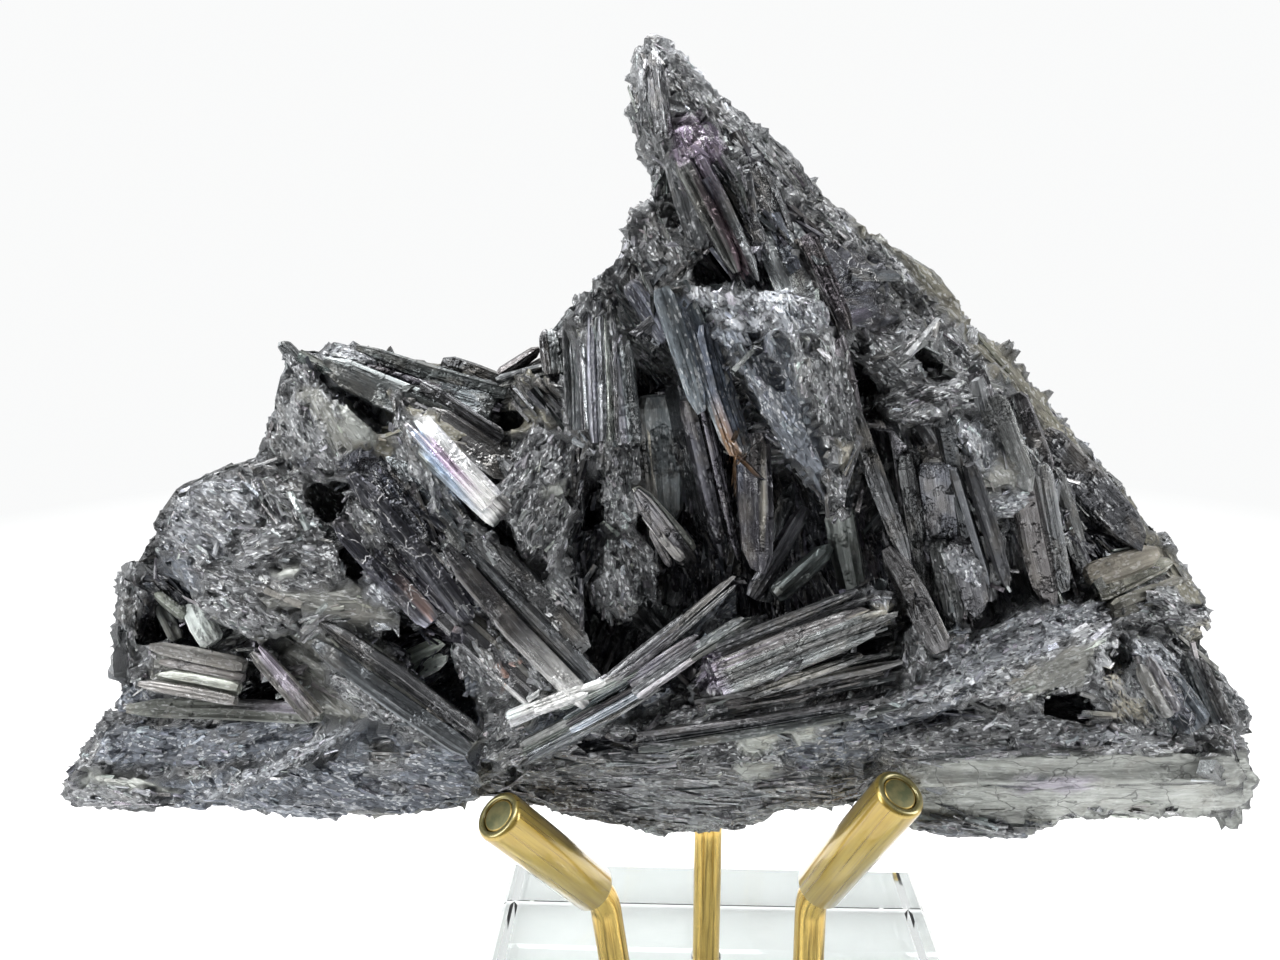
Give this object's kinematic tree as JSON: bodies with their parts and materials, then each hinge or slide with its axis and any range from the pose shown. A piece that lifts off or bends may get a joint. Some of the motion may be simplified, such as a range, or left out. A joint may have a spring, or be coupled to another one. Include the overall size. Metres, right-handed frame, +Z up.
{
  "type": "mineral specimen on a stand",
  "caption": "Stibnite crystal cluster with radiating steel-grey blades, resting in a stand of bent brass rods with clear sleeves on a clear acrylic block.",
  "frame": {"origin": "middle of the underside of the acrylic block, where the object rests on a table", "axes": "+Z up, +Y away from the viewer towards the back of the stand, +X to the viewer's right"},
  "size_m": [0.1888, 0.076, 0.1696],
  "materials": {
    "stibnite": "metallic striated crystal faces, granular where broken",
    "acrylic": "polished clear acrylic",
    "brass": "drawn brass rod with dark lengthwise marks",
    "vinyl": "clear vinyl tube over the brass"
  },
  "bodies": {
    "root": {"stibnite_cluster": "stibnite", "acrylic_block": "acrylic", "brass_rod_left": "brass", "brass_rod_right": "brass", "brass_rod_rear": "brass", "vinyl_sleeve_left": "vinyl", "vinyl_sleeve_right": "vinyl", "vinyl_sleeve_rear": "vinyl"}
  },
  "joints": []
}
